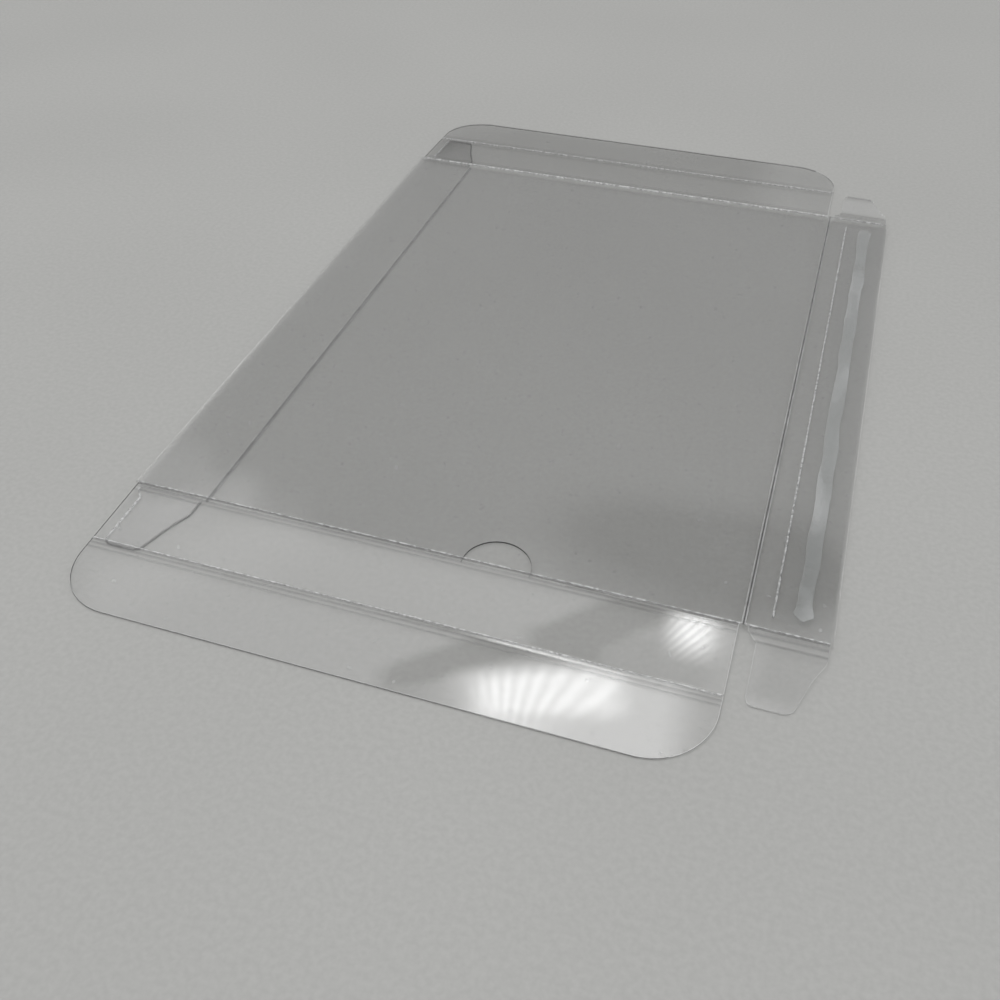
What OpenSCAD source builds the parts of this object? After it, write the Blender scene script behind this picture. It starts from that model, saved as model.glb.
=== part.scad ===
// Clear film folding box, knocked down flat and empty.
// The body is a flattened sleeve, and both end lids lie open in line with it.
// The origin is on the surface that the box lies on, under the middle of its outline.
// X runs across the panels, Y along the body from the near end to the far end.

/* [Body panels] */
// Width of the face panel and of the top panel, from crease to crease
panel_w = 106.5; // [80:0.5:200]
// Length of the body, from end crease to end crease
body_l = 138; // [100:0.5:260]
// Depth of the side panels, from crease to crease
side_w = 13.8; // [12.5:0.1:24]
// How far the free edge of the glued side panel stays inside the fold
edge_inset = 0.75; // [0.5:0.05:1.2]

/* [Film] */
// Thickness of the clear film
film_t = 0.3; // [0.2:0.02:0.5]
// Clear height inside each flat fold
fold_gap = 0.25; // [0.15:0.05:0.6]
// Width of the score line pressed along a crease
score_w = 0.8; // [0.4:0.1:1.2]
// Depth of the score line
score_depth = 0.06; // [0.02:0.01:0.08]

/* [End lids] */
// Depth of a lid, from its crease on the body to its tuck crease
lid_d = 14.2; // [10:0.1:26]
// How far each side of a lid stays inside the creases of the body
lid_inset = 0.6; // [0.2:0.1:2]
// Depth of a tuck flap, from its crease to its free edge
tuck_d = 13.8; // [11:0.1:26]
// Radius of the two outer corners of a tuck flap
tuck_r = 10.5; // [2:0.5:10.8]
// Clearance between a flap and the panel that it is creased to
hinge_gap = 0.05; // [0.03:0.01:0.1]
// Clearance between a lid and the dust flap that it lies on
rest_gap = 0.2; // [0.04:0.01:0.3]

/* [Dust flaps] */
// Depth of a dust flap, from its crease to its free edge
dust_d = 14.5; // [11:0.1:16]
// Distance from the lid's crease corner to the root of a dust flap
dust_start = 0.9; // [0.8:0.1:1.6]
// Width that the relief cut takes off the lid side of a dust flap
relief_w = 1.5; // [0.5:0.1:2.5]
// Depth at which the relief cut ends
relief_d = 3; // [1.5:0.1:5]
// Depth at which the shoulder of a dust flap starts to slant inwards
shoulder_d = 4; // [2:0.1:6]
// Depth of the slanting shoulder
slant_d = 3.8; // [2:0.1:5]
// Width that the slanting shoulder takes off a dust flap
slant_w = 1.8; // [0.8:0.1:2.5]
// Width that the steep side below the shoulder takes off
taper_w = 2.1; // [0.5:0.1:2.8]
// Radius of the outer corners of a dust flap
dust_corner_r = 1.3; // [0.4:0.1:1.5]

/* [Glue seam] */
// Width of the glue flap, from its fold to its free edge
glue_flap_w = 9.8; // [8.5:0.1:11.5]
// Length that slants off each end of the glue flap at its free edge
glue_flap_slant = 3.4; // [0.5:0.1:8]
// Thickness of the glue between the glue flap and the side panel
glue_t = 0.15; // [0.05:0.05:0.4]
// Width of the bead of glue
bead_w = 2.5; // [1:0.1:4]
// Distance from the fold to the middle of the bead
bead_offset = 5.2; // [3.6:0.1:5.8]
// How far the sides of the bead wander in and out
bead_wave = 0.3; // [0:0.05:0.45]
// Radius of the round blob at each end of the bead
blob_r = 1.6; // [1:0.1:2]

/* [Thumb notch] */
// Radius of the half-round notch in the near edge of the face panel
notch_r = 5.8; // [4:0.1:12]
// Length of the straight sides of the notch, from the edge to the half round
notch_side = 0.6; // [0:0.1:4]
// How far the middle of the notch lies to the right of the middle of the face panel
notch_offset = -0.6; // [-20:0.1:20]

/* [Hidden] */
$fn = 48;
film_colour = [0.86, 0.89, 0.90, 0.35];
glue_colour = [0.95, 0.97, 0.98, 0.6];

// Heights, from the surface up: face panel, fold, glue flap, glue, side panel
fold_r = film_t + fold_gap / 2;
glue_flap_z = film_t + fold_gap;
glue_z = glue_flap_z + film_t;
top_under = glue_z + glue_t;
top_z = top_under + film_t;

// The left side panel rises from the face panel to the left fold
left_low = top_z - 2 * fold_r;
side_run = sqrt(side_w * side_w - left_low * left_low);
overall_w = side_run + panel_w;
left_x = -overall_w / 2;
right_x = overall_w / 2;
left_fold_x = left_x + fold_r;
right_fold_x = right_x - fold_r;
face_crease_x = left_x + side_run;
top_crease_x = left_x + panel_w;
glued_edge_x = right_x - edge_inset;
end_y = body_l / 2;
side_slope = left_low / (face_crease_x - left_fold_x);

// The lid comes down on the dust flap under it, and the tuck flap on the surface
dust_overhang = max(0, dust_d - lid_d);
tuck_under = (film_t + rest_gap) / (1 - dust_overhang / tuck_d);
lid_w = panel_w - 2 * lid_inset;
lid_tilt = asin((top_under - tuck_under) / lid_d);
tuck_y = end_y + hinge_gap + lid_d * cos(lid_tilt);
tuck_z = top_z - lid_d * sin(lid_tilt);
tuck_tilt = tilt_to_surface(tuck_z, tuck_d);
dust_tilt = tilt_to_surface(top_z, dust_d);

// How deep the buried root of a fixed dust flap reaches into its panel
dust_root = 0.5;
// Steps of the twisted sheet that the fixed dust flaps are cut from
twist_steps = 8;
// Points along each side of the glue bead for one wander of its edge
bead_points = 8;
// Length of one wander of the bead's edge
bead_pitch = 17;
// Spare length of a cutting tool past the film that it cuts
spare = 1;

// Downward tilt at which a film panel of depth d, hinged at its upper face z above the
// surface, touches the surface with its free edge
function tilt_to_surface(z, d) = asin(z / norm([d, film_t])) - atan(film_t / d);

function unit(v) = v / norm(v);

// Arc that rounds corner p between its neighbours a and b with radius r
function corner_arc(a, p, b, r) =
    let (u = unit(a - p), w = unit(b - p), half = acos(u * w) / 2,
         centre = p + unit(u + w) * r / sin(half),
         from = p + u * r / tan(half) - centre,
         turn = 180 - 2 * half,
         side = sign(u[0] * w[1] - u[1] * w[0]),
         steps = 6)
    [for (i = [0:steps])
        let (t = -side * turn * i / steps)
        centre + [from[0] * cos(t) - from[1] * sin(t), from[0] * sin(t) + from[1] * cos(t)]];

// Outline through corners given as [x, y, radius]
function rounded(corners) =
    let (n = len(corners))
    [for (i = [0:n - 1])
        let (p = corners[i], a = corners[(i + n - 1) % n], b = corners[(i + 1) % n],
             flat = [p[0], p[1]])
        each p[2] == 0 ? [flat]
                       : corner_arc([a[0], a[1]], flat, [b[0], b[1]], p[2])];

// Dust flap seen from above: x from the lid's crease corner, y outwards from its crease
module dust_outline(root = 0) {
    outer = side_w - edge_inset;
    knee = outer - slant_w;
    tip = knee - taper_w;
    inner = dust_start + relief_w;
    soft = relief_w / 2;
    polygon(rounded([
        [dust_start, -root, 0],
        [outer, -root, 0],
        [outer, shoulder_d, soft],
        [knee, shoulder_d + slant_d, soft],
        [tip, dust_d, dust_corner_r],
        [inner, dust_d, dust_corner_r],
        [inner, relief_d, soft],
        [dust_start, relief_d / 2, soft / 2],
    ]));
}

// V groove pressed along X on the underside of a panel, centred on y = 0
module score_line(length) {
    rotate([90, 0, 90])
        linear_extrude(length, center = true)
            polygon([[-score_w / 2, -score_depth], [score_w / 2, -score_depth],
                     [score_w / 2, 0], [0, score_depth], [-score_w / 2, 0]]);
}

// Film panel hinged along X at its upper face, hanging outwards and down by tilt
module hinged_panel(y, z, tilt) {
    translate([0, -y, z])
        rotate([tilt, 0, 0])
            translate([0, 0, -film_t])
                difference() {
                    mirror([0, 1, 0])
                        linear_extrude(film_t) children();
                    score_line(overall_w);
                }
}

// Section of the flattened body across its length
module body_section() {
    translate([face_crease_x, 0])
        square([right_fold_x - face_crease_x, film_t]);
    translate([right_fold_x, fold_r])
        flat_fold(1);
    translate([right_x - glue_flap_w, glue_flap_z])
        square([right_fold_x - right_x + glue_flap_w, film_t]);
    polygon([[left_fold_x, left_low], [left_fold_x, left_low + film_t],
             [face_crease_x, film_t], [face_crease_x, 0]]);
    translate([left_fold_x, top_z - fold_r])
        flat_fold(-1);
    translate([left_fold_x, top_under])
        square([glued_edge_x - left_fold_x, film_t]);
}

// Half ring of film at a flat fold, open to the other side
module flat_fold(side) {
    difference() {
        circle(fold_r);
        circle(fold_gap / 2);
        translate([-side * (fold_r + spare), 0])
            square(2 * (fold_r + spare), center = true);
    }
}

// Sheet that leaves the raised side panel and comes down to the surface, 0 at the crease
module twisted_sheet() {
    function middle(x, y) =
        let (raised = (face_crease_x - x) * side_slope, down = max(0, y) / dust_d)
        film_t / 2 + raised * (1 - down);
    function half_film(y) = y > 0 ? film_t / 2 : film_t / 2 - score_depth;
    ys = concat([-dust_root, 0],
                [for (i = [0:twist_steps]) score_w / 2 + (dust_d - score_w / 2) * i / twist_steps]);
    xs = [for (i = [0:twist_steps]) left_fold_x + (face_crease_x - left_fold_x) * i / twist_steps];
    nx = len(xs);
    ny = len(ys);
    layer = nx * ny;
    points = [for (side = [1, -1], y = ys, x = xs) [x, y, middle(x, y) + side * half_film(y)]];
    top = [for (j = [0:ny - 2], i = [0:nx - 2])
        let (k = j * nx + i)
        each [[k, k + nx, k + 1], [k + 1, k + nx, k + nx + 1]]];
    bottom = [for (f = top) [f[0] + layer, f[2] + layer, f[1] + layer]];
    rim = concat([for (i = [0:nx - 2]) i],
                 [for (j = [0:ny - 2]) j * nx + nx - 1],
                 [for (i = [nx - 1:-1:1]) (ny - 1) * nx + i],
                 [for (j = [ny - 1:-1:1]) j * nx]);
    wall = [for (i = [0:len(rim) - 1])
        let (a = rim[i], b = rim[(i + 1) % len(rim)])
        each [[a, b, b + layer], [a, b + layer, a + layer]]];
    polyhedron(points, concat(top, bottom, wall), convexity = 4);
}

module fixed_dust_flap() {
    translate([0, end_y, 0])
        intersection() {
            twisted_sheet();
            translate([left_x, 0, 0])
                linear_extrude(2 * top_z, center = true)
                    dust_outline(dust_root - hinge_gap);
        }
}

// Slant off one end of the glue flap, from its fold to its free edge
module glue_flap_cut() {
    reach = glue_flap_w + spare;
    slant = glue_flap_slant * (reach - fold_r) / (glue_flap_w - fold_r);
    translate([0, 0, film_t + fold_gap / 2])
        linear_extrude(film_t + fold_gap / 2 + glue_t / 2)
            polygon([[right_fold_x, end_y], [right_x - reach, end_y - slant],
                     [right_x - reach, end_y + spare], [right_fold_x, end_y + spare]]);
}

// Cutter for the thumb notch, through the face panel only
module notch_cut() {
    translate([face_crease_x + panel_w / 2 + notch_offset, notch_side - end_y, -spare])
        linear_extrude(film_t + fold_gap / 2 + spare) {
            circle(notch_r);
            translate([-notch_r, -notch_side - spare])
                square([2 * notch_r, notch_side + spare]);
        }
}

module sleeve() {
    color(film_colour) {
        difference() {
            rotate([90, 0, 0])
                linear_extrude(body_l, center = true)
                    body_section();
            notch_cut();
            for (end = [0, 1])
                mirror([0, end, 0])
                    glue_flap_cut();
            translate([face_crease_x, 0, film_t])
                rotate([180, 0, 90])
                    score_line(body_l + 2 * spare);
            translate([top_crease_x, 0, top_under])
                rotate([0, 0, 90])
                    score_line(body_l + 2 * spare);
        }
        for (end = [0, 1])
            mirror([0, end, 0])
                fixed_dust_flap();
    }
}

// Bead of glue with gently wandering sides and a blob at each end
module seam_glue() {
    fold_to_end = glue_flap_slant * bead_offset / glue_flap_w;
    half_l = end_y - fold_to_end - blob_r - bead_wave;
    n = round(2 * half_l / bead_pitch) * bead_points;
    side = [for (i = [0:n])
        let (t = 360 * i / bead_points)
        [bead_w / 2 + bead_wave * sin(t) * cos(t / 5), -half_l + 2 * half_l * i / n]];
    color(glue_colour)
        translate([right_x - bead_offset, 0, glue_z])
            linear_extrude(glue_t) {
                polygon(concat(side, [for (i = [n:-1:0]) [-side[n - i][0], side[i][1]]]));
                for (end = [-1, 1])
                    translate([0, end * half_l])
                        circle(blob_r);
            }
}

module lid() {
    hinged_panel(end_y + hinge_gap, top_z, lid_tilt)
        translate([left_x + lid_inset, 0])
            square([lid_w, lid_d - hinge_gap]);
}

module tuck() {
    hinged_panel(tuck_y, tuck_z, tuck_tilt)
        translate([left_x + lid_inset, 0])
            intersection() {
                square([lid_w, tuck_d]);
                union() {
                    square([lid_w, tuck_d - tuck_r]);
                    translate([tuck_r, 0])
                        square([lid_w - 2 * tuck_r, tuck_d]);
                    for (x = [tuck_r, lid_w - tuck_r])
                        translate([x, tuck_d - tuck_r])
                            circle(tuck_r, $fn = 96);
                }
            }
}

module dust_flap() {
    hinged_panel(end_y + hinge_gap, top_z, dust_tilt)
        translate([top_crease_x, 0])
            dust_outline();
}

module front_lid() { color(film_colour) lid(); }
module front_tuck() { color(film_colour) tuck(); }
module rear_lid() { color(film_colour) mirror([0, 1, 0]) lid(); }
module rear_tuck() { color(film_colour) mirror([0, 1, 0]) tuck(); }
module front_dust_flap() { color(film_colour) dust_flap(); }
module rear_dust_flap() { color(film_colour) mirror([0, 1, 0]) dust_flap(); }

sleeve();
seam_glue();
front_lid();
front_tuck();
rear_lid();
rear_tuck();
front_dust_flap();
rear_dust_flap();
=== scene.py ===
# Clear film folding box, knocked down flat: the folded sheet, its open flaps, its creases and its glue
import math

import bmesh
import bpy
from mathutils import Matrix, Vector, noise


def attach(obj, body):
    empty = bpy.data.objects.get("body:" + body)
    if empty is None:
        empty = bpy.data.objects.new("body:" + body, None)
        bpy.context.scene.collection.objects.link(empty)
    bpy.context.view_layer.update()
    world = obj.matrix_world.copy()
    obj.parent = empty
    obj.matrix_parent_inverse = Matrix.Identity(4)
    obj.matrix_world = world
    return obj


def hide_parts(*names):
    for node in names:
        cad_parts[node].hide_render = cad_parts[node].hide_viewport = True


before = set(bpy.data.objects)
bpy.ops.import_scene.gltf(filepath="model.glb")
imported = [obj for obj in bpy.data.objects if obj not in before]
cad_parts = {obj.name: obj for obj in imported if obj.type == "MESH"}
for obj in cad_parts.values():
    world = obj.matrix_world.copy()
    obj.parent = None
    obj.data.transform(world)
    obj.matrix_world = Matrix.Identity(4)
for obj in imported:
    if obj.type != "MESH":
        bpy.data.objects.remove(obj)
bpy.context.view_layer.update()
mm = 0.001
print("frame loaded")


def hexColour(code):
    parts = [int(code[i:i + 2], 16) / 255 for i in (1, 3, 5)]
    return [c / 12.92 if c <= 0.04045 else ((c + 0.055) / 1.055) ** 2.4 for c in parts] + [1.0]


def addNode(tree, kind, settings=None, inputs=None):
    node = tree.nodes.new(kind)
    for key, value in (settings or {}).items():
        setattr(node, key, value)
    for key, value in (inputs or {}).items():
        if isinstance(value, bpy.types.NodeSocket):
            tree.links.new(value, node.inputs[key])
        else:
            node.inputs[key].default_value = value
    return node


def startMaterial(name):
    material = bpy.data.materials.new(name)
    material.use_nodes = True
    tree = material.node_tree
    tree.nodes.clear()
    place = addNode(tree, "ShaderNodeTexCoord").outputs["Object"]
    return material, tree, place


def layOver(material, share, body, over):
    # shows a second finish over the body, by its share
    tree = material.node_tree
    surface = addNode(tree, "ShaderNodeMixShader", inputs={0: share, 1: body.outputs[0], 2: over.outputs[0]})
    addNode(tree, "ShaderNodeOutputMaterial", inputs={"Surface": surface.outputs[0]})
    return material


def clearBody(tree, bump, look, roughness):
    # light goes straight through, apart from the share that the surface mirrors, which grows at a glance
    facing = addNode(tree, "ShaderNodeLayerWeight", inputs={"Blend": 0.5}).outputs["Facing"]
    fifth = addNode(tree, "ShaderNodeMath", {"operation": "POWER"}, {0: facing, 1: 5.0})
    share = addNode(tree, "ShaderNodeMath", {"operation": "MULTIPLY_ADD"},
                    {0: fifth.outputs[0], 1: 1 - look["straightGloss"], 2: look["straightGloss"]})
    through = addNode(tree, "ShaderNodeBsdfTransparent", inputs={"Color": hexColour(look["throughTone"])})
    gloss = addNode(tree, "ShaderNodeBsdfGlossy", {"distribution": "GGX"},
                    {"Color": (1, 1, 1, 1), "Roughness": roughness, "Normal": bump.outputs[0]})
    return addNode(tree, "ShaderNodeMixShader",
                   inputs={0: share.outputs[0], 1: through.outputs[0], 2: gloss.outputs[0]})


# Extruded PET film: clear, polished by the chill roll, IOR 1.57, with a very slow waviness in its gloss
petFilm = {
    "throughTone": "#FDFDFD",   # a faint loss of light in the sheet
    "straightGloss": 0.05,      # share of light mirrored head on, each face
    "roughness": 0.012,
    "waveSize": 42 * mm,        # slow waves of the sheet
    "waveHeight": 0.11 * mm,
    "dustTone": "#E9EAEA",
    "dustSize": 1.1 * mm,       # dust, drawn as coarse as it has to be to show
    "dustShare": 0.10,
    "dustFrom": 0.80,           # only the highest peaks of the noise are dust
    "dustTo": 0.86,
}
# The same film where it lies in wet contact with the adhesive: its inner faces mirror less
wettedFilm = dict(petFilm, throughTone="#FFFFFF", straightGloss=0.022)


def filmBody(tree, place, look, roughness):
    slow = addNode(tree, "ShaderNodeTexNoise",
                   inputs={"Vector": place, "Scale": 1 / look["waveSize"], "Detail": 0.0})
    bump = addNode(tree, "ShaderNodeBump", inputs={"Height": slow.outputs[0], "Distance": look["waveHeight"]})
    return clearBody(tree, bump, look, roughness)


def makeFilm(name, look):
    material, tree, place = startMaterial(name)
    film = filmBody(tree, place, look, look["roughness"])
    specks = addNode(tree, "ShaderNodeTexNoise",
                     inputs={"Vector": place, "Scale": 1 / look["dustSize"], "Detail": 0.0})
    sparse = addNode(tree, "ShaderNodeMapRange",
                     inputs={"Value": specks.outputs[0], "From Min": look["dustFrom"],
                             "From Max": look["dustTo"], "To Min": 0.0, "To Max": look["dustShare"]})
    dust = addNode(tree, "ShaderNodeBsdfDiffuse", inputs={"Color": hexColour(look["dustTone"])})
    return layOver(material, sparse.outputs[0], film, dust)


# Creased PET film: the rule stretches the film, which scatters a little light there. A long body crease shows
# a painted dark line of shade between two rims with a painted highlight, and the end creases, which are
# worked
# hardest, turn white in places: stress whitening with a painted highlight over it. The crease tone also
# paints the shadow lines beside end creases and dust flaps
creasedFilm = {"roughness": 0.08, "cloudTone": "#F3F4F4", "breakFrom": 0.40, "breakTo": 0.64}
# the crease's own slightly darker tone, also used as painted shade: the shadow lines beside end creases and
# the shadow rims of dust flaps
clearCreaseAndShade = {"throughTone": "#E6E6E6", "gloss": 0.05, "cloudLeast": 0.0, "cloudMost": 0.04,
               "breakSize": 2.6 * mm}
# painted highlight: the pale rims either side of a body crease, over the crease's own faint scatter
paleHighlightCrease = {"throughTone": "#EEEEEE", "gloss": 0.05, "cloudLeast": 0.10, "cloudMost": 0.20,
              "breakSize": 2.6 * mm}
# stress whitening with a painted highlight over it; also used alone as a painted highlight: the strip along
# the glue flap's edge, the left end of a fixed dust flap's rim and the far lid's band beside its crease
whitenedAndHighlightCrease = {"throughTone": "#F2F2F2", "gloss": 0.05, "cloudLeast": 0.10, "cloudMost": 0.52,
               "breakSize": 0.7 * mm}
# painted shade: the dark line of a body crease, the near lid's and near dust flap's band beside the crease,
# and the shadow rim of a near fixed dust flap
paintedShadeCrease = {"throughTone": "#D6D6D6", "gloss": 0.01, "cloudLeast": 0.0, "cloudMost": 0.02,
              "breakSize": 4.0 * mm}


def makeCrease(name, look):
    common = creasedFilm
    material, tree, place = startMaterial(name)
    film = filmBody(tree, place, dict(petFilm, throughTone=look["throughTone"], straightGloss=look["gloss"]),
                    common["roughness"])
    breaks = addNode(tree, "ShaderNodeTexNoise",
                     inputs={"Vector": place, "Scale": 1 / look["breakSize"], "Detail": 1.0})
    share = addNode(tree, "ShaderNodeMapRange",
                    inputs={"Value": breaks.outputs[0], "From Min": common["breakFrom"],
                            "From Max": common["breakTo"], "To Min": look["cloudLeast"],
                            "To Max": look["cloudMost"]})
    cloud = addNode(tree, "ShaderNodeBsdfDiffuse", inputs={"Color": hexColour(common["cloudTone"])})
    return layOver(material, share.outputs[0], film, cloud)


# Die-cut PET edge: light runs inside the sheet and leaves at the cuts, so a cut that faces away from the
# light glows and the others look nearly black. Both are painted: a painted shade in the near-black tone, and
# a painted glow in the pale one, picked by which way the cut faces
paintedShadeEdge = {"tone": "#232525", "share": 0.92, "roughness": 0.15}
# painted glow: the pale tone lights the cuts that face the lit way and the top of every burr
litEdge = {"tone": "#FBFCFC", "share": 0.80, "roughness": 0.15, "piped": 0.5}


def makeEdge(name, look):
    material, tree, place = startMaterial(name)
    film = filmBody(tree, place, petFilm, look["roughness"])
    cut = addNode(tree, "ShaderNodeBsdfDiffuse", inputs={"Color": hexColour(look["tone"])})
    if "piped" in look:
        piped = addNode(tree, "ShaderNodeBsdfTranslucent", inputs={"Color": hexColour(look["tone"])})
        cut = addNode(tree, "ShaderNodeMixShader",
                      inputs={0: look["piped"], 1: cut.outputs[0], 2: piped.outputs[0]})
    return layOver(material, look["share"], film, cut)


# Clear adhesive, pressed flat while wet: wavy and glossy, a little milk-white, with painted highlights in
# streaks along the bead
clearGlue = {
    "throughTone": "#FDFEFE",
    "straightGloss": 0.06,
    "roughness": 0.06,
    "waveSize": 6 * mm,
    "waveHeight": 0.16 * mm,
    "stretch": 0.25,            # the waves run along the bead
    "milkTone": "#F2F3F3",
    "milkShare": 0.10,          # everywhere, and more in the streaks, which are painted highlights
    "highlightStreakShare": 0.24,
    "streakFrom": 0.52,
    "streakTo": 0.68,
}


def makeGlue(name, look):
    material, tree, place = startMaterial(name)
    stretched = addNode(tree, "ShaderNodeMapping",
                        inputs={"Vector": place, "Scale": (1.0, look["stretch"], 1.0)})
    waves = addNode(tree, "ShaderNodeTexNoise",
                    inputs={"Vector": stretched.outputs[0], "Scale": 1 / look["waveSize"], "Detail": 2.0})
    bump = addNode(tree, "ShaderNodeBump",
                   inputs={"Height": waves.outputs[0], "Distance": look["waveHeight"]})
    glue = clearBody(tree, bump, look, look["roughness"])
    milk = addNode(tree, "ShaderNodeBsdfDiffuse", inputs={"Color": hexColour(look["milkTone"])})
    # the milk-white tone rises in streaks where the waves peak: painted highlights
    milkAndHighlightShare = addNode(tree, "ShaderNodeMapRange",
                    inputs={"Value": waves.outputs[0], "From Min": look["streakFrom"],
                            "From Max": look["streakTo"], "To Min": look["milkShare"],
                            "To Max": look["highlightStreakShare"]})
    return layOver(material, milkAndHighlightShare.outputs[0], glue, milk)


filmSlots = [
    makeFilm("extruded PET film", petFilm),
    makeFilm("PET film wetted by adhesive", wettedFilm),
    makeCrease("PET crease tone and painted shade", clearCreaseAndShade),
    makeCrease("PET crease, stress-whitened and painted highlight", whitenedAndHighlightCrease),
    makeCrease("painted shade beside a PET crease", paintedShadeCrease),
    makeEdge("die-cut PET edge", paintedShadeEdge),
    makeEdge("die-cut PET edge, lit", litEdge),
    makeCrease("painted highlight on the rim of a PET crease", paleHighlightCrease),
]
glueSlots = [makeGlue("clear solvent adhesive", clearGlue)]
# places in filmSlots, after the plain film, which is 0
wetSlot, creaseAndShadeSlot, whitenedAndHighlightSlot, paintedShadeSlot, shadedEdgeSlot, litSlot, paleHighlightSlot = range(1, 8)
print("materials made")


# Modelling helpers: every length is in mm
def deselectAll():
    if bpy.context.object and bpy.context.object.mode != "OBJECT":
        bpy.ops.object.mode_set(mode="OBJECT")
    bpy.ops.object.select_all(action="DESELECT")


def startSheet(name, x0, x1, y0, y1, z):
    deselectAll()
    bpy.ops.mesh.primitive_plane_add(size=1, location=(0, 0, 0))
    sheet = bpy.context.object
    sheet.name = sheet.data.name = name
    bpy.ops.object.mode_set(mode="EDIT")
    bpy.ops.mesh.select_all(action="SELECT")
    bpy.ops.transform.resize(value=((x1 - x0) * mm, (y1 - y0) * mm, 1))
    bpy.ops.transform.translate(value=((x0 + x1) / 2 * mm, (y0 + y1) / 2 * mm, z * mm))
    return sheet


def pick(kind, test):
    # test gets the middle and the extent of each vertex, edge or face
    mesh = bpy.context.object.data
    bpy.ops.mesh.select_mode(type=kind)
    bpy.ops.mesh.select_all(action="DESELECT")
    shape = bmesh.from_edit_mesh(mesh)
    for part in {"VERT": shape.verts, "EDGE": shape.edges, "FACE": shape.faces}[kind]:
        corners = [part.co] if kind == "VERT" else [v.co for v in part.verts]
        low = Vector([min(c[i] for c in corners) for i in range(3)]) / mm
        high = Vector([max(c[i] for c in corners) for i in range(3)]) / mm
        if test((low + high) / 2, high - low):
            part.select_set(True)
    shape.select_flush_mode()
    bmesh.update_edit_mesh(mesh)


def near(a, b):
    return abs(a - b) < 0.004


def wide(extent, width):
    return abs(extent - width) < 0.01


def extrudeBy(x, y, z):
    bpy.ops.mesh.extrude_region_move(TRANSFORM_OT_translate={"value": (x * mm, y * mm, z * mm)})


def extrudePath(points, start):
    last = start
    for point in points:
        extrudeBy(point[0] - last[0], 0, point[1] - last[1])
        last = point


def roundCorner(radius, segments):
    bpy.ops.mesh.bevel(offset=radius * mm, segments=segments, profile=0.5, affect="VERTICES")


def moveSelected(change):
    mesh = bpy.context.object.data
    shape = bmesh.from_edit_mesh(mesh)
    for v in shape.verts:
        if v.select:
            v.co = Vector(change(v.co / mm)) * mm
    bmesh.update_edit_mesh(mesh)


def moveAll(change):
    bpy.ops.mesh.select_all(action="SELECT")
    moveSelected(change)


def cutAt(axis, places, test=None):
    for place in places:
        if test:
            pick("FACE", test)
        else:
            bpy.ops.mesh.select_all(action="SELECT")
        point, normal = Vector((0, 0, 0)), Vector((0, 0, 0))
        point[axis] = place * mm
        normal[axis] = 1
        bpy.ops.mesh.bisect(plane_co=point, plane_no=normal)


def paintFaces(slotIndex, test):
    pick("FACE", test)
    shape = bmesh.from_edit_mesh(bpy.context.object.data)
    for face in shape.faces:
        if face.select:
            face.material_index = slotIndex
    bmesh.update_edit_mesh(bpy.context.object.data)


def evenly(low, high, parts):
    return [low + (high - low) * i / parts for i in range(1, parts)]


def smoothStep(low, high, value):
    t = min(1.0, max(0.0, (value - low) / (high - low)))
    return t * t * (3 - 2 * t)


def thicken(sheet, thick, even=True):
    bpy.ops.mesh.select_mode(type="VERT")
    bpy.ops.mesh.select_all(action="SELECT")
    bpy.ops.mesh.remove_doubles(threshold=0.003 * mm)
    bpy.ops.mesh.normals_make_consistent(inside=False)
    bpy.ops.object.mode_set(mode="OBJECT")
    wall = sheet.modifiers.new("wall", "SOLIDIFY")
    wall.thickness = thick * mm
    wall.offset = 0
    wall.use_even_offset = even
    bpy.ops.object.modifier_apply(modifier="wall")


def giveSlots(sheet, slots):
    for slot in slots:
        sheet.data.materials.append(slot)


# The sheet of film, in mm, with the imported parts' own sizes
film = {
    "thick": 0.3,
    "lineHalf": 0.12,        # half of the line in the middle of a crease
    "bandHalf": 0.35,        # half of the whole band that the creasing rule leaves
    "ridge": 0.03,           # height of that band
    "shadowLineWidth": 0.2,
    "shadowLines": (0.85, 1.05, 1.75, 1.95),   # two painted shadow lines beside an end crease, from and to
    "burr": 0.08,            # rounded edge that the die leaves
    "litSide": 0.45,         # how far sideways a cut faces to get the painted glow
    "endReach": 0.17,        # cuts as close as this to a crease are part of it
    "endY": 69.0,            # end creases of the body
    "topMiddle": 1.15,       # middle of the film in the top panel
    "faceMiddle": 0.15,      # and in the face panel, on the surface
    "underTop": 0.8,         # all that is lower lies under the top panel
    "topFrom": 1.1,          # and all that is higher is in it
}
body = {
    "halfWidth": 60.146,
    "foldX": 59.7213,        # centre of each flat fold, left and right
    "foldSteps": 8,
    "glueFlapX": 50.3463,    # free edge of the glue flap
    "glueFlapZ": 0.70,
    "glueFlapSlant": 3.4,
    "glueFlapHighlight": 0.3,      # painted highlight strip along that edge
    "faceCreaseX": -46.354,
    "topCreaseX": 46.354,
    "gluedEdgeX": 59.3963,   # free edge of the glued side panel
    "leftRise": 0.45,        # how much higher the left side panel is at its fold
    "leftFrom": -46.9,       # all that is low and left of this is the left side panel
    "leftCuts": (-50.1, -53.1, -56.2),
    "rightFrom": 46.8,
    "rightCuts": (50.1, 53.2, 56.3),
    "gridHalf": 45.9,        # half width of the grid that lets the panels bow
    "gridAcross": 18,
    "gridAlong": 26,
    "notchX": 6.296,
    "notchY": -68.4,
    "notchR": 5.8,
    "notchOut": -71.0,       # the cutter reaches from past the edge
    "notchLow": -0.8,        # and from below the film to between the panels
    "notchHigh": 0.6,
}
# The empty body is never quite flat: the top panel sags towards the face panel, which is a little wavy
bodyWave = {"insideX": 46.3, "faceFrom": -46.0, "rimX": 18, "rimY": 14, "waveX": 38, "waveY": 47,
            "seed": 3.1, "topSag": -0.22, "topWave": 0.16, "faceRise": 0.08, "faceWave": 0.07}
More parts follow.
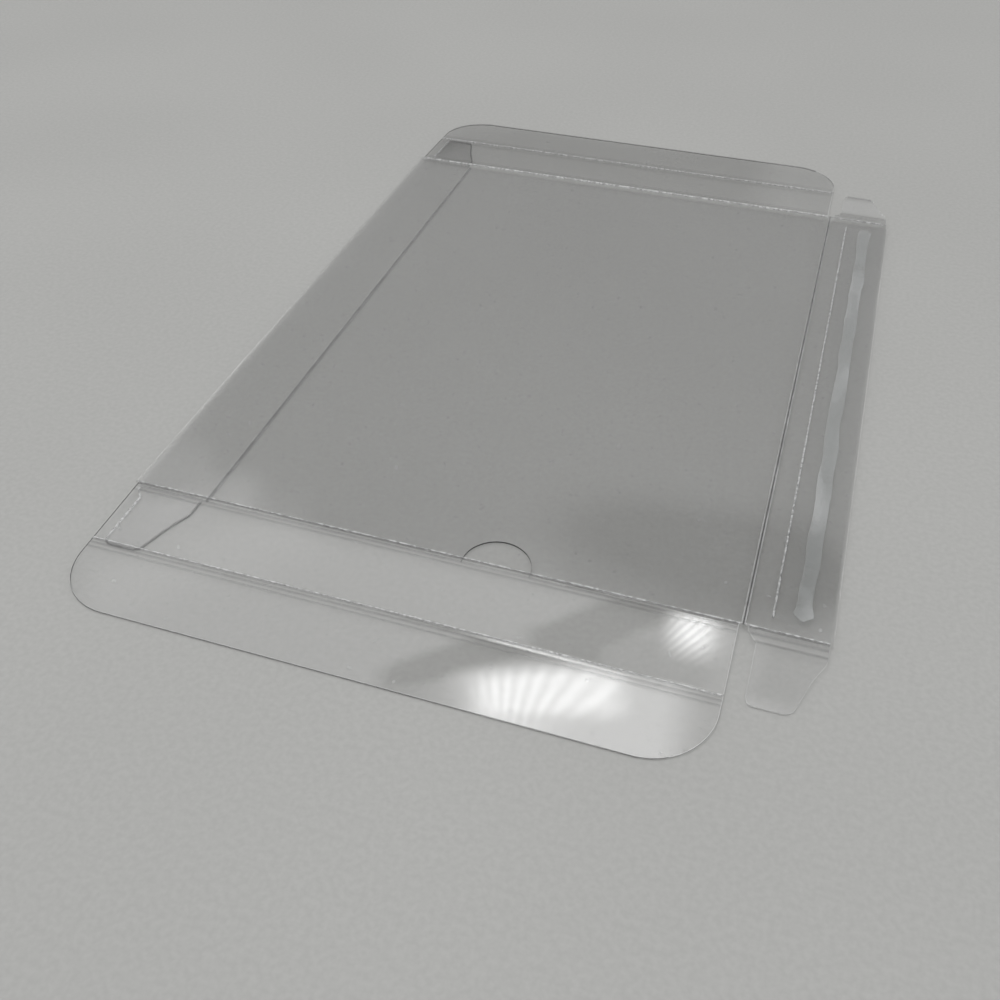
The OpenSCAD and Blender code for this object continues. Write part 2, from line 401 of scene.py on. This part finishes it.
# Dust flaps. Rows: distance from the crease, then the inner and outer side from the crease corner.
# Corners: distance from the crease, place across and radius.
dustDepth = 14.5
dustRows = [
    (0.12, 0.9, 13.05), (0.35, 0.9, 13.05), (1.2, 0.9, 13.05), (1.55, 1.25, 13.05), (2.65, 2.05, 13.05),
    (3.0, 2.4, 13.05), (4.0, 2.4, 13.05), (7.8, 2.4, 11.25), (11.2, 2.4, 10.2), (dustDepth, 2.4, 9.15),
]
dustCorners = [(dustDepth, 2.4, 1.3), (dustDepth, 9.15, 1.3), (7.8, 11.25, 0.75), (4.0, 13.05, 0.75)]
dustShadowLines = {"from": 1.2, "to": 3.0, "width": 0.35}    # two painted shadow lines across a dust flap
dustRim = {"width": 0.3, "from": 0.75, "highlightTo": -57.3}   # the fixed ones' rim, seen through the lid: painted shadow, with a painted highlight at its left end


def scoreLift(distance):
    # a rounded ridge across the score band, highest on the crease
    return film["ridge"] * max(0.0, math.cos(min(1.0, abs(distance) / film["bandHalf"]) * math.pi / 2))


def leftPanelZ(x):
    run = body["foldX"] + body["faceCreaseX"]
    return film["faceMiddle"] + body["leftRise"] * (body["faceCreaseX"] - x) / run


def paintEdges(sheet, lit, creaseY):
    # cuts that face the lit way get a painted glow, the others a painted shade below a thin burr with a
    # painted highlight, and the ends that meet another flap are part of a crease: white, stress whitening
    # with a painted highlight, unless they face down, then in the crease tone as painted shade
    shape = bmesh.new()
    shape.from_mesh(sheet.data)
    shape.normal_update()
    for face in shape.faces:
        side, at = face.normal, face.calc_center_median() / mm
        if face.material_index not in (shadedEdgeSlot, litSlot):
            continue
        if any(abs(abs(at.y) - y) < film["endReach"] for y in creaseY):
            face.material_index = whitenedAndHighlightSlot if side.z > -0.2 else creaseAndShadeSlot
        elif side.z < 0.5 and not lit(side, at):
            face.material_index = shadedEdgeSlot
    shape.to_mesh(sheet.data)
    shape.free()


def roundEdges(sheet, lit, creaseY=()):
    soft = sheet.modifiers.new("burr", "BEVEL")
    soft.width = film["burr"] * mm
    soft.segments = 2
    soft.limit_method = "ANGLE"
    soft.angle_limit = math.radians(55)
    # the burr faces start in the lit tone: a painted highlight along every cut
    soft.material = litSlot
    bpy.ops.object.modifier_apply(modifier="burr")
    paintEdges(sheet, lit, creaseY)
    bpy.ops.object.shade_smooth_by_angle(angle=math.radians(40))
    flat = sheet.modifiers.new("flat", "WEIGHTED_NORMAL")
    flat.keep_sharp = True
    flat.weight = 80
    bpy.ops.object.modifier_apply(modifier="flat")


def foldBody():
    # the body's chain of panels, from the glue flap's free edge to the glued side panel's
    b, low, top = body, film["faceMiddle"], film["topMiddle"]
    steps = (film["bandHalf"], film["lineHalf"], 0.0, -film["lineHalf"], -film["bandHalf"])

    def spinFold(x, low, high):
        bpy.ops.mesh.spin(steps=b["foldSteps"], angle=-math.pi, center=(x * mm, 0, (low + high) / 2 * mm),
                          axis=(0, 1, 0))

    pick("EDGE", lambda c, s: near(c.x, b["foldX"]) and s.y > 100)
    spinFold(b["foldX"], low, b["glueFlapZ"])
    pick("EDGE", lambda c, s: near(c.z, low) and s.y > 100)
    crease = b["faceCreaseX"]
    path = [(crease + d, (low if d > 0 else leftPanelZ(crease + d)) + scoreLift(d)) for d in steps]
    inner, outer = dustRows[0][1:]
    cuts = (outer - b["halfWidth"], *b["leftCuts"], inner - b["halfWidth"], -b["foldX"])
    path += [(x, leftPanelZ(x)) for x in cuts]
    extrudePath(path, (b["foldX"], low))
    spinFold(-b["foldX"], leftPanelZ(-b["foldX"]), top)
    pick("EDGE", lambda c, s: near(c.z, top) and s.y > 100)
    path = [(b["topCreaseX"] - d, top + scoreLift(d)) for d in steps] + [(b["gluedEdgeX"], top)]
    extrudePath(path, (-b["foldX"], top))
    print("sleeve folded")


def cutGlueFlap():
    # the glue flap is cut at a slant at both ends
    b, end = body, film["endY"]

    def onFlap(c, s):
        return near(c.z, b["glueFlapZ"]) and s.z < 0.01

    for side in (-1, 1):
        pick("FACE", onFlap)
        slope = Vector((-b["glueFlapSlant"], side * (b["foldX"] - b["glueFlapX"]), 0)).normalized()
        bpy.ops.mesh.bisect(plane_co=(b["foldX"] * mm, side * end * mm, b["glueFlapZ"] * mm), plane_no=slope,
                            clear_outer=True)
    # the strip along the glue flap's free edge gets the white tone: a painted highlight
    rim = b["glueFlapX"] + b["glueFlapHighlight"]
    paintFaces(wetSlot, onFlap)
    cutAt(0, [rim], onFlap)
    paintFaces(whitenedAndHighlightSlot, lambda c, s: onFlap(c, s) and c.x < rim)


def pullFixedDustFlap(sheet, side):
    # a dust flap on the left side panel leaves the raised panel and comes down to the surface
    b, end, under = body, film["endY"], film["underTop"]
    inner, outer = dustRows[0][1:]
    least, most = inner - b["halfWidth"] - 0.05, outer - b["halfWidth"] + 0.05
    pick("EDGE", lambda c, s: near(c.y, side * end) and s.y < 0.01 and least < c.x < most and c.z < under)
    done = 0.0
    for v, nextInner, nextOuter in dustRows:
        extrudeBy(0, side * (v - done), 0)

        def shapeRow(p):
            share = (p.x + b["halfWidth"] - inner) / (outer - inner)
            x = nextInner + share * (nextOuter - nextInner) - b["halfWidth"]
            raised = leftPanelZ(x) - film["faceMiddle"]
            return x, p.y, film["faceMiddle"] + raised * (1 - v / dustDepth) + scoreLift(v)
        moveSelected(shapeRow)
        done, inner, outer = v, nextInner, nextOuter
    for v, u, r in dustCorners:
        pick("VERT", lambda c, s: near(c.y, side * (end + v)) and near(c.x, u - b["halfWidth"])
             and c.z < under)
        roundCorner(r, 4)
    line = film["lineHalf"]
    paintFaces(creaseAndShadeSlot, lambda c, s: c.z < under and end < abs(c.y) < end + line and s.y < line + 0.01)

    # the rim is drawn as a strip inside the outline: painted shadow, paler on the far flap, and a painted
    # highlight at its left end
    pick("FACE", lambda c, s: side * c.y > end + film["bandHalf"] + 0.05 and c.x < b["leftFrom"]
         and c.z < under)
    bpy.ops.mesh.inset(thickness=dustRim["width"] * mm)
    shape = bmesh.from_edit_mesh(sheet.data)
    for face in shape.faces:
        at = face.calc_center_median() / mm
        outside = side * at.y > end + dustRim["from"] and at.x < b["leftFrom"] and at.z < under
        if outside and not face.select:
            face.material_index = creaseAndShadeSlot if side > 0 else paintedShadeSlot
            if at.x < dustRim["highlightTo"]:
                face.material_index = whitenedAndHighlightSlot
    bmesh.update_edit_mesh(sheet.data)


def bodyBow(p):
    w = bodyWave
    inside = smoothStep(0, w["rimX"], w["insideX"] - abs(p.x))
    inside *= smoothStep(0, w["rimY"], film["endY"] - abs(p.y))
    slow = noise.noise(Vector((p.x / w["waveX"], p.y / w["waveY"], w["seed"])))
    if p.z > film["topFrom"]:
        return inside * (w["topSag"] + w["topWave"] * slow)
    if p.z < film["thick"] and p.x > w["faceFrom"]:
        return inside * (w["faceRise"] + w["faceWave"] * slow)
    return 0.0


def cutNotch(sheet):
    b = body
    deselectAll()
    bpy.ops.mesh.primitive_circle_add(vertices=72, radius=b["notchR"] * mm, fill_type="NGON",
                                      location=(0, 0, 0))
    cutter = bpy.context.object
    giveSlots(cutter, filmSlots)
    bpy.ops.object.mode_set(mode="EDIT")
    bpy.ops.mesh.select_all(action="SELECT")
    bpy.ops.transform.translate(value=(b["notchX"] * mm, b["notchY"] * mm, b["notchLow"] * mm))
    pick("VERT", lambda c, s: c.y < b["notchY"] - 0.01)
    moveSelected(lambda p: (p.x, b["notchOut"], p.z))
    bpy.ops.mesh.select_mode(type="FACE")
    bpy.ops.mesh.select_all(action="SELECT")
    extrudeBy(0, 0, b["notchHigh"] - b["notchLow"])
    bpy.ops.mesh.select_all(action="SELECT")
    bpy.ops.mesh.normals_make_consistent(inside=False)
    # the notch's cut faces start in the near-black tone: painted shade
    paintFaces(shadedEdgeSlot, lambda c, s: True)
    deselectAll()
    sheet.select_set(True)
    bpy.context.view_layer.objects.active = sheet
    bite = sheet.modifiers.new("notch", "BOOLEAN")
    bite.operation = "DIFFERENCE"
    bite.solver = "EXACT"
    bite.object = cutter
    bpy.ops.object.modifier_apply(modifier="notch")
    bpy.data.objects.remove(cutter)
    print("thumb notch cut")


def makeSleeve():
    b, end, line, band = body, film["endY"], film["lineHalf"], film["bandHalf"]
    sheet = startSheet("foldedSleeve", b["glueFlapX"], b["foldX"], -end, end, b["glueFlapZ"])
    foldBody()
    cutGlueFlap()
    for side in (-1, 1):
        pullFixedDustFlap(sheet, side)
    print("fixed dust flaps pulled out")

    # rows for the score bands at the two ends, and a grid that lets the panels bow
    cutAt(1, [line - end, band - end, end - band, end - line], lambda c, s: abs(c.y) < end + 0.01)
    cutAt(1, evenly(band - end, end - band, b["gridAlong"]), lambda c, s: s.y > 4)
    cutAt(0, evenly(-b["gridHalf"], b["gridHalf"], b["gridAcross"]),
          lambda c, s: s.x > 4 and abs(c.x) < b["gridHalf"])
    cutAt(0, b["rightCuts"], lambda c, s: s.x > 2.5 and c.x > b["rightFrom"])

    def inLeftPanel(c):
        above = c.z - film["faceMiddle"]
        return c.x < b["leftFrom"] and -0.01 < above < b["leftRise"] + 0.02

    def inEndLine(c, s):
        return end - line < abs(c.y) < end and s.y < line + 0.01

    def fromBodyCrease(c):
        return abs(abs(c.x) - b["topCreaseX"])

    pick("VERT", lambda c, s: end - line - 0.01 < abs(c.y) < end + 0.01
         and (c.z > film["topFrom"] or inLeftPanel(c)))
    folded = -b["foldX"] - 0.01
    moveSelected(lambda p: (p.x, p.y, p.z + (0 if p.x < folded else scoreLift(end - abs(p.y)))))
    # end creases: the crease tone in the left panel, and stress whitening with a painted highlight in the top
    # panel; body creases: a painted dark line of shade between two rims with a painted highlight
    paintFaces(creaseAndShadeSlot, lambda c, s: inEndLine(c, s) and c.x < b["leftFrom"])
    paintFaces(whitenedAndHighlightSlot, lambda c, s: inEndLine(c, s) and c.z > film["topFrom"])
    paintFaces(paleHighlightSlot, lambda c, s: line < fromBodyCrease(c) < band and s.x < band - line + 0.01)
    paintFaces(paintedShadeSlot, lambda c, s: fromBodyCrease(c) < line and s.x < line + 0.01)
    moveAll(lambda p: (p.x, p.y, p.z + bodyBow(p)))
    thicken(sheet, film["thick"], even=False)
    giveSlots(sheet, filmSlots)
    cutNotch(sheet)
    # cuts that face right, and the glue flap's free edge, get the painted glow; the other cuts get painted
    # shade
    lit = film["litSide"]
    roundEdges(sheet, lambda n, at: n.x > lit or (n.x < -lit and at.x > b["rightFrom"]))
    return sheet


# Open flaps, in mm and degrees: x range, crease place, downward tilt and depth
flaps = {
    "lid": {"x0": -59.546, "x1": 45.754, "y": 69.02, "z": 1.3, "tilt": 1.973, "depth": 14.21,
            "cuts": (3.6, 7.1, 10.6)},
    "tuck": {"x0": -59.546, "x1": 45.754, "y": 83.225, "z": 0.811, "tilt": 2.1234, "depth": 13.82,
             "cuts": (3.6, 7.0, 10.4), "cornerR": 10.5, "cornerSteps": 28},
    "dust": {"x": 46.354, "y": 69.02, "z": 1.3, "tilt": 3.957, "bow": 0.12, "cuts": (4.5, 6.5, 8.5)},
}
flapColumns = 26


def layOut(sheet, flap, side, creases, lit=lambda n, at: n.x > film["litSide"]):
    # the flap was drawn flat along its crease: hang it from the crease and give the sheet its bow
    turn = math.radians(flap["tilt"])
    half = film["thick"] / 2

    def place(p):
        bow = flap.get("bow", 0.0) * math.sin(math.pi * min(1, max(0, -p.y / dustDepth)))
        v, w = -p.y, p.z - half + bow
        y = flap["y"] + v * math.cos(turn) + w * math.sin(turn)
        z = flap["z"] - v * math.sin(turn) + w * math.cos(turn)
        return p.x, side * y, z
    moveAll(place)
    thicken(sheet, film["thick"])
    giveSlots(sheet, filmSlots)
    roundEdges(sheet, lit, creases)
    return sheet


def makeLid(name, side):
    f, line, band = flaps["lid"], film["lineHalf"], film["bandHalf"]
    sheet = startSheet(name, f["x0"], f["x1"], -f["depth"], 0, 0)
    rows = [line, band, *film["shadowLines"], f["depth"] - band, f["depth"] - line, *f["cuts"]]
    cutAt(1, [-v for v in rows])
    cutAt(0, evenly(f["x0"], f["x1"], flapColumns))
    # the crease lines: stress whitening with a painted highlight; beside the crease, a painted shade band on
    # the near lid and a painted highlight band on the far one; further out, the painted shadow lines
    paintFaces(whitenedAndHighlightSlot, lambda c, s: s.y < line + 0.01)
    paintFaces(paintedShadeSlot if side < 0 else whitenedAndHighlightSlot, lambda c, s: wide(s.y, band - line) and c.y > -band)
    paintFaces(creaseAndShadeSlot, lambda c, s: wide(s.y, film["shadowLineWidth"]))
    moveAll(lambda p: (p.x, p.y, scoreLift(p.y) + scoreLift(f["depth"] + p.y)))
    return layOut(sheet, f, side, [f["y"], flaps["tuck"]["y"]])


def makeTuck(name, side):
    f, line, band = flaps["tuck"], film["lineHalf"], film["bandHalf"]
    sheet = startSheet(name, f["x0"], f["x1"], -f["depth"], 0, 0)
    pick("VERT", lambda c, s: near(c.y, -f["depth"]))
    roundCorner(f["cornerR"], f["cornerSteps"])
    cutAt(1, [-v for v in (line, band, *film["shadowLines"], *f["cuts"])])
    cutAt(0, evenly(f["x0"], f["x1"], flapColumns))
    # the crease line: stress whitening with a painted highlight; the band beside it and the two lines further
    # out: painted shade
    paintFaces(whitenedAndHighlightSlot, lambda c, s: s.y < line + 0.01 and c.y > -line)
    paintFaces(creaseAndShadeSlot, lambda c, s: c.y > -film["shadowLines"][-1]
               and (wide(s.y, film["shadowLineWidth"]) or wide(s.y, band - line)))
    moveAll(lambda p: (p.x, p.y, scoreLift(p.y)))
    return layOut(sheet, f, side, [f["y"]])


def makeDust(name, side):
    f, line, band = flaps["dust"], film["lineHalf"], film["bandHalf"]
    v, inner, outer = dustRows[0]
    sheet = startSheet(name, f["x"] + inner, f["x"] + outer, -v, 0, 0)
    pick("EDGE", lambda c, s: near(c.y, -v) and s.y < 0.01)
    for nextV, nextInner, nextOuter in dustRows[1:]:
        extrudeBy(0, v - nextV, 0)

        def shapeRow(p):
            share = (p.x - f["x"] - inner) / (outer - inner)
            return f["x"] + nextInner + share * (nextOuter - nextInner), p.y, 0
        moveSelected(shapeRow)
        v, inner, outer = nextV, nextInner, nextOuter
    for y, u, r in dustCorners:
        pick("VERT", lambda c, s: near(c.y, -y) and near(c.x, f["x"] + u))
        roundCorner(r, 4)
    cutAt(0, [f["x"] + u for u in f["cuts"]])
    m = dustShadowLines
    # the crease line: stress whitening with a painted highlight; the band beside it: painted shade, darker on
    # the near flap; two painted shadow lines across the flap
    paintFaces(whitenedAndHighlightSlot, lambda c, s: c.y > -line and s.y < line + 0.01)
    paintFaces(paintedShadeSlot if side < 0 else creaseAndShadeSlot,
               lambda c, s: -band < c.y < -line and s.y < band - line + 0.01)
    paintFaces(creaseAndShadeSlot, lambda c, s: -m["to"] < c.y < -m["from"] and s.y < m["width"] + 0.01)
    moveAll(lambda p: (p.x, p.y, scoreLift(p.y)))
    # cuts of a dust flap that face sideways either way get the painted glow
    return layOut(sheet, f, side, [f["y"]], lambda n, at: abs(n.x) > film["litSide"])


# Bead of glue between the glue flap and the side panel, in mm
bead = {"x": 54.946, "half": 1.25, "least": 0.12, "end": 65.45, "blobR": 1.6, "z": 0.925, "thick": 0.15,
        "wander": 0.48, "wanderSize": 9, "seed": 8.8, "core": 0.5, "rows": 110}


def makeBead():
    b = bead
    sheet = startSheet("gluedSeamBead", b["x"] - b["half"], b["x"] + b["half"], -b["end"], b["end"], b["z"])
    cutAt(1, evenly(-b["end"], b["end"], b["rows"]))
    cutAt(0, [b["x"] - b["core"], b["x"] + b["core"]])

    def wander(p):
        off = (p.x - b["x"]) / b["half"]
        width = b["half"] + b["wander"] * noise.noise(Vector((off, p.y / b["wanderSize"], b["seed"])))
        toEnd = b["end"] - abs(p.y)
        if toEnd < 2 * b["blobR"]:
            swell = math.sqrt(max(0.0, b["blobR"] ** 2 - (toEnd - b["blobR"]) ** 2))
            width = swell if toEnd < b["blobR"] else max(width, swell)
        return b["x"] + off * max(b["least"], width), p.y, p.z
    moveAll(wander)
    thicken(sheet, b["thick"])
    giveSlots(sheet, glueSlots)
    bpy.ops.object.shade_smooth_by_angle(angle=math.radians(40))
    return sheet


pieces = [
    (makeSleeve(), "sleeve", "box_body", "film"),
    (makeLid("frontLidSheet", -1), "front_lid", "front_lid", "film"),
    (makeTuck("frontTuckSheet", -1), "front_tuck", "front_tuck", "film"),
    (makeLid("rearLidSheet", 1), "rear_lid", "rear_lid", "film"),
    (makeTuck("rearTuckSheet", 1), "rear_tuck", "rear_tuck", "film"),
    (makeDust("frontDustSheet", -1), "front_dust_flap", "front_dust_flap", "film"),
    (makeDust("rearDustSheet", 1), "rear_dust_flap", "rear_dust_flap", "film"),
    (makeBead(), "seam_glue", "box_body", "glue"),
]
for sheet, node, rideBody, slotName in pieces:
    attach(sheet, rideBody)
    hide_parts(node)
print("film pieces made:", ", ".join(p[0].name for p in pieces))

# Plain matt grey card under the box, with a faint grain from the paper mill
card = {
    "size": 4, "z": -0.06 * mm,
    "tone": "#ACACAA",
    "roughness": 0.85,
    "sheen": 0.2,
    "grainSize": 0.9 * mm,
    "grainHeight": 0.03 * mm,
    "grainStrength": 0.5,
    "grainShare": 0.035,        # how much lighter and darker the grain makes the card
    "mottleSize": 60 * mm,
    "mottleShare": 0.015,
}


def makeCard():
    deselectAll()
    bpy.ops.mesh.primitive_plane_add(size=card["size"], location=(0, 0, card["z"]))
    floor = bpy.context.object
    floor.name = "greyCard"
    material, tree, place = startMaterial("matt grey card")
    grain = addNode(tree, "ShaderNodeTexNoise",
                    inputs={"Vector": place, "Scale": 1 / card["grainSize"], "Detail": 1.0})
    mottle = addNode(tree, "ShaderNodeTexNoise",
                     inputs={"Vector": place, "Scale": 1 / card["mottleSize"], "Detail": 0.0})
    shades = []
    for pattern, share in ((grain, card["grainShare"]), (mottle, card["mottleShare"])):
        shades.append(addNode(tree, "ShaderNodeMapRange",
                              inputs={"Value": pattern.outputs[0], "From Min": 0.3, "From Max": 0.7,
                                      "To Min": 1 - share, "To Max": 1 + share}).outputs[0])
    both = addNode(tree, "ShaderNodeMath", {"operation": "MULTIPLY"}, {0: shades[0], 1: shades[1]})
    colour = addNode(tree, "ShaderNodeVectorMath", {"operation": "SCALE"},
                     {0: hexColour(card["tone"])[:3], "Scale": both.outputs[0]})
    bump = addNode(tree, "ShaderNodeBump",
                   inputs={"Height": grain.outputs[0], "Distance": card["grainHeight"],
                           "Strength": card["grainStrength"]})
    paper = addNode(tree, "ShaderNodeBsdfPrincipled",
                    inputs={"Base Color": colour.outputs[0], "Roughness": card["roughness"],
                            "Specular IOR Level": card["sheen"], "Normal": bump.outputs[0]})
    addNode(tree, "ShaderNodeOutputMaterial", inputs={"Surface": paper.outputs[0]})
    floor.data.materials.append(material)


makeCard()
print("card laid")

# The room, by direction: azimuth from +Y towards +X and elevation, in degrees, each patch with a soft rim.
# Slant tips a patch down to the right. The bright ones are a window seen past its blind: a fan gives the
# point that the blind's slats fan out from, as azimuth and elevation, and the radians from slat to slat.
room = {
    "plain": 0.70,              # light on everything that isn't a mirror
    "pale": 0.40,               # background that the camera sees
    "low": 0.25,                # the room that the film mirrors, below and above its bright line
    "high": 0.95,
    "riseFrom": 44.0,
    "riseTo": 48.0,
    "fanWidth": 0.656,          # width of a degree of azimuth as high up as the fans
    "slatShare": 0.85,
    "patches": [
        # the left side of the room, higher up and low behind
        {"az": -42.0, "el": 44.3, "halfAz": 6.5, "halfEl": 0.8, "softAz": 5.0, "soft": 3.4, "light": 0.62},
        {"az": -38.5, "el": 41.2, "halfAz": 2.5, "halfEl": 0.8, "softAz": 2.5, "soft": 2.0, "light": 0.5},
        {"az": -52.0, "el": 14.0, "halfAz": 8.0, "halfEl": 5.0, "softAz": 6.0, "soft": 5.0, "light": 4.0},
        {"az": 40.0, "el": 14.0, "halfAz": 12.0, "halfEl": 5.0, "softAz": 8.0, "soft": 5.0, "light": 2.4},
        # dark wall low at the right, and the dark band under the window
        {"az": -3.0, "el": 45.5, "halfAz": 3.0, "halfEl": 1.0, "softAz": 12.0, "soft": 4.5, "light": -0.6},
        {"az": -22.0, "el": 54.0, "halfAz": 7.0, "halfEl": 0.2, "softAz": 4.0, "soft": 1.1, "light": -1.2,
         "slant": 0.12},
        {"az": -10.0, "el": 51.8, "halfAz": 2.5, "halfEl": 0.35, "softAz": 4.5, "soft": 1.3, "light": -1.3,
         "slant": 0.29},
        {"az": -7.0, "el": 53.4, "halfAz": 4.0, "halfEl": 0.5, "softAz": 3.0, "soft": 0.9, "light": -0.4},
        # the window: its glare, the panes behind the blind and one more pane at the right
        {"az": -13.5, "el": 59.0, "halfAz": 8.0, "halfEl": 3.5, "softAz": 5.0, "soft": 1.1, "light": 1.9},
        {"az": -15.5, "el": 56.1, "halfAz": 5.0, "halfEl": 0.6, "softAz": 3.5, "soft": 1.3, "light": 3.7,
         "slant": 0.08, "fan": (-20.8, 61.6, 0.14), "slats": 0.17},
        {"az": -3.3, "el": 51.6, "halfAz": 0.2, "halfEl": 0.2, "softAz": 2.9, "soft": 1.9, "light": 6.3,
         "fan": (-15.2, 60.0, 0.034), "slats": 0.19},
        {"az": -8.0, "el": 69.0, "halfAz": 12.0, "halfEl": 5.0, "softAz": 5.0, "soft": 4.0, "light": 1.8},
        # dimmer parts over the right and low behind, and a pale part below them
        {"az": 7.5, "el": 56.5, "halfAz": 3.5, "halfEl": 3.0, "softAz": 2.0, "soft": 2.0, "light": -0.4},
        {"az": -13.0, "el": 21.0, "halfAz": 8.0, "halfEl": 1.0, "softAz": 3.0, "soft": 1.5, "light": -0.2},
        {"az": 1.0, "el": 17.2, "halfAz": 3.5, "halfEl": 1.4, "softAz": 1.6, "soft": 1.6, "light": 0.3},
    ],
}


def patchLight(tree, azimuth, elevation, patch):
    def sums(operation, *values):
        return addNode(tree, "ShaderNodeMath", {"operation": operation}, dict(enumerate(values))).outputs[0]

    offAz = sums("SUBTRACT", azimuth, patch["az"])
    offEl = sums("SUBTRACT", elevation, patch["el"])
    if "slant" in patch:
        offEl = sums("MULTIPLY_ADD", offAz, patch["slant"], offEl)
    light = patch["light"]
    rims = ((offAz, patch["halfAz"], patch["softAz"]), (offEl, patch["halfEl"], patch["soft"]))
    for off, half, soft in rims:
        size = sums("ABSOLUTE", off)
        mask = addNode(tree, "ShaderNodeMapRange", {"interpolation_type": "SMOOTHSTEP"},
                       {"Value": size, "From Min": half, "From Max": half + soft,
                        "To Min": 1.0, "To Max": 0.0}).outputs[0]
        light = sums("MULTIPLY", mask, light)
    if "fan" in patch:
        fanAz, fanEl, pitch = patch["fan"]
        across = sums("MULTIPLY", sums("SUBTRACT", azimuth, fanAz), room["fanWidth"])
        along = sums("SUBTRACT", fanEl, elevation)
        turn = sums("MULTIPLY", sums("ARCTAN2", across, along), 2 * math.pi / pitch)
        gap = sums("MULTIPLY_ADD", sums("SINE", turn), patch["slats"], room["slatShare"])
        light = sums("MULTIPLY", light, gap)
    return light


def makeRoom():
    world = bpy.data.worlds.new("plain room")
    bpy.context.scene.world = world
    world.use_nodes = True
    tree = world.node_tree
    tree.nodes.clear()
    way = addNode(tree, "ShaderNodeTexCoord").outputs["Generated"]
    split = addNode(tree, "ShaderNodeSeparateXYZ", inputs={0: way})
    azimuth = addNode(tree, "ShaderNodeMath", {"operation": "ARCTAN2"},
                      {0: split.outputs[0], 1: split.outputs[1]})
    azimuth = addNode(tree, "ShaderNodeMath", {"operation": "DEGREES"}, {0: azimuth.outputs[0]})
    elevation = addNode(tree, "ShaderNodeMath", {"operation": "ARCSINE"}, {0: split.outputs[2]})
    elevation = addNode(tree, "ShaderNodeMath", {"operation": "DEGREES"}, {0: elevation.outputs[0]})
    total = addNode(tree, "ShaderNodeMapRange", {"interpolation_type": "SMOOTHSTEP"},
                    {"Value": elevation.outputs[0], "From Min": room["riseFrom"], "From Max": room["riseTo"],
                     "To Min": room["low"], "To Max": room["high"]}).outputs[0]
    for patch in room["patches"]:
        part = patchLight(tree, azimuth.outputs[0], elevation.outputs[0], patch)
        total = addNode(tree, "ShaderNodeMath", {"operation": "ADD"}, {0: total, 1: part}).outputs[0]
    total = addNode(tree, "ShaderNodeMath", {"operation": "MAXIMUM"}, {0: total, 1: 0.0}).outputs[0]
    white = hexColour("#FFFFFF")
    seen = addNode(tree, "ShaderNodeBackground", inputs={"Color": white, "Strength": total})
    plain = addNode(tree, "ShaderNodeBackground", inputs={"Color": white, "Strength": room["plain"]})
    pale = addNode(tree, "ShaderNodeBackground", inputs={"Color": white, "Strength": room["pale"]})
    path = addNode(tree, "ShaderNodeLightPath")
    sky = addNode(tree, "ShaderNodeMixShader",
                  inputs={0: path.outputs["Is Glossy Ray"], 1: plain.outputs[0], 2: seen.outputs[0]})
    sky = addNode(tree, "ShaderNodeMixShader",
                  inputs={0: path.outputs["Is Camera Ray"], 1: sky.outputs[0], 2: pale.outputs[0]})
    addNode(tree, "ShaderNodeOutputWorld", inputs={"Surface": sky.outputs[0]})


makeRoom()

# Two soft lights, in metres and watts: the main one high at the left and behind, a weak one over the near
# side. The film mirrors the room and not the lamps.
lights = {
    "windowLight": {"place": (-0.32, 0.46, 1.39), "size": 0.30, "power": 4.2},
    "nearLight": {"place": (-0.03, -0.30, 0.55), "size": 0.3, "power": 0.62},
}
lightAim = Vector((0, -0.05, 0))
for name, light in lights.items():
    deselectAll()
    bpy.ops.object.light_add(type="AREA", location=light["place"])
    lamp = bpy.context.object
    lamp.name = name
    lamp.data.size = light["size"]
    lamp.data.energy = light["power"]
    lamp.visible_glossy = False
    lamp.rotation_euler = (lightAim - lamp.location).to_track_quat("-Z", "Y").to_euler()
print("room lit")

# Camera at the photograph's viewpoint, with its turn as the rows of a matrix
camera = {
    "place": (0.0452105, -0.1851834, 0.1257318),
    "turn": ((0.95001613, -0.20983528, 0.23116771),
             (0.31219836, 0.63557743, -0.70609738),
             (0.00123916, 0.74297408, 0.66931904)),
    "lens": 38.88, "sensor": 36, "nearest": 0.01,
}
bpy.ops.object.camera_add(location=camera["place"])
cam = bpy.context.object
cam.rotation_euler = Matrix(camera["turn"]).to_euler()
cam.data.lens = camera["lens"]
cam.data.sensor_width = camera["sensor"]
cam.data.clip_start = camera["nearest"]
scene = bpy.context.scene
scene.camera = cam
scene.view_settings.view_transform = "Standard"
scene.cycles.transparent_max_bounces = 32   # light crosses up to ten faces of film each way
scene.cycles.max_bounces = 6
scene.cycles.diffuse_bounces = 2
scene.cycles.glossy_bounces = 3
print("camera set")

deselectAll()
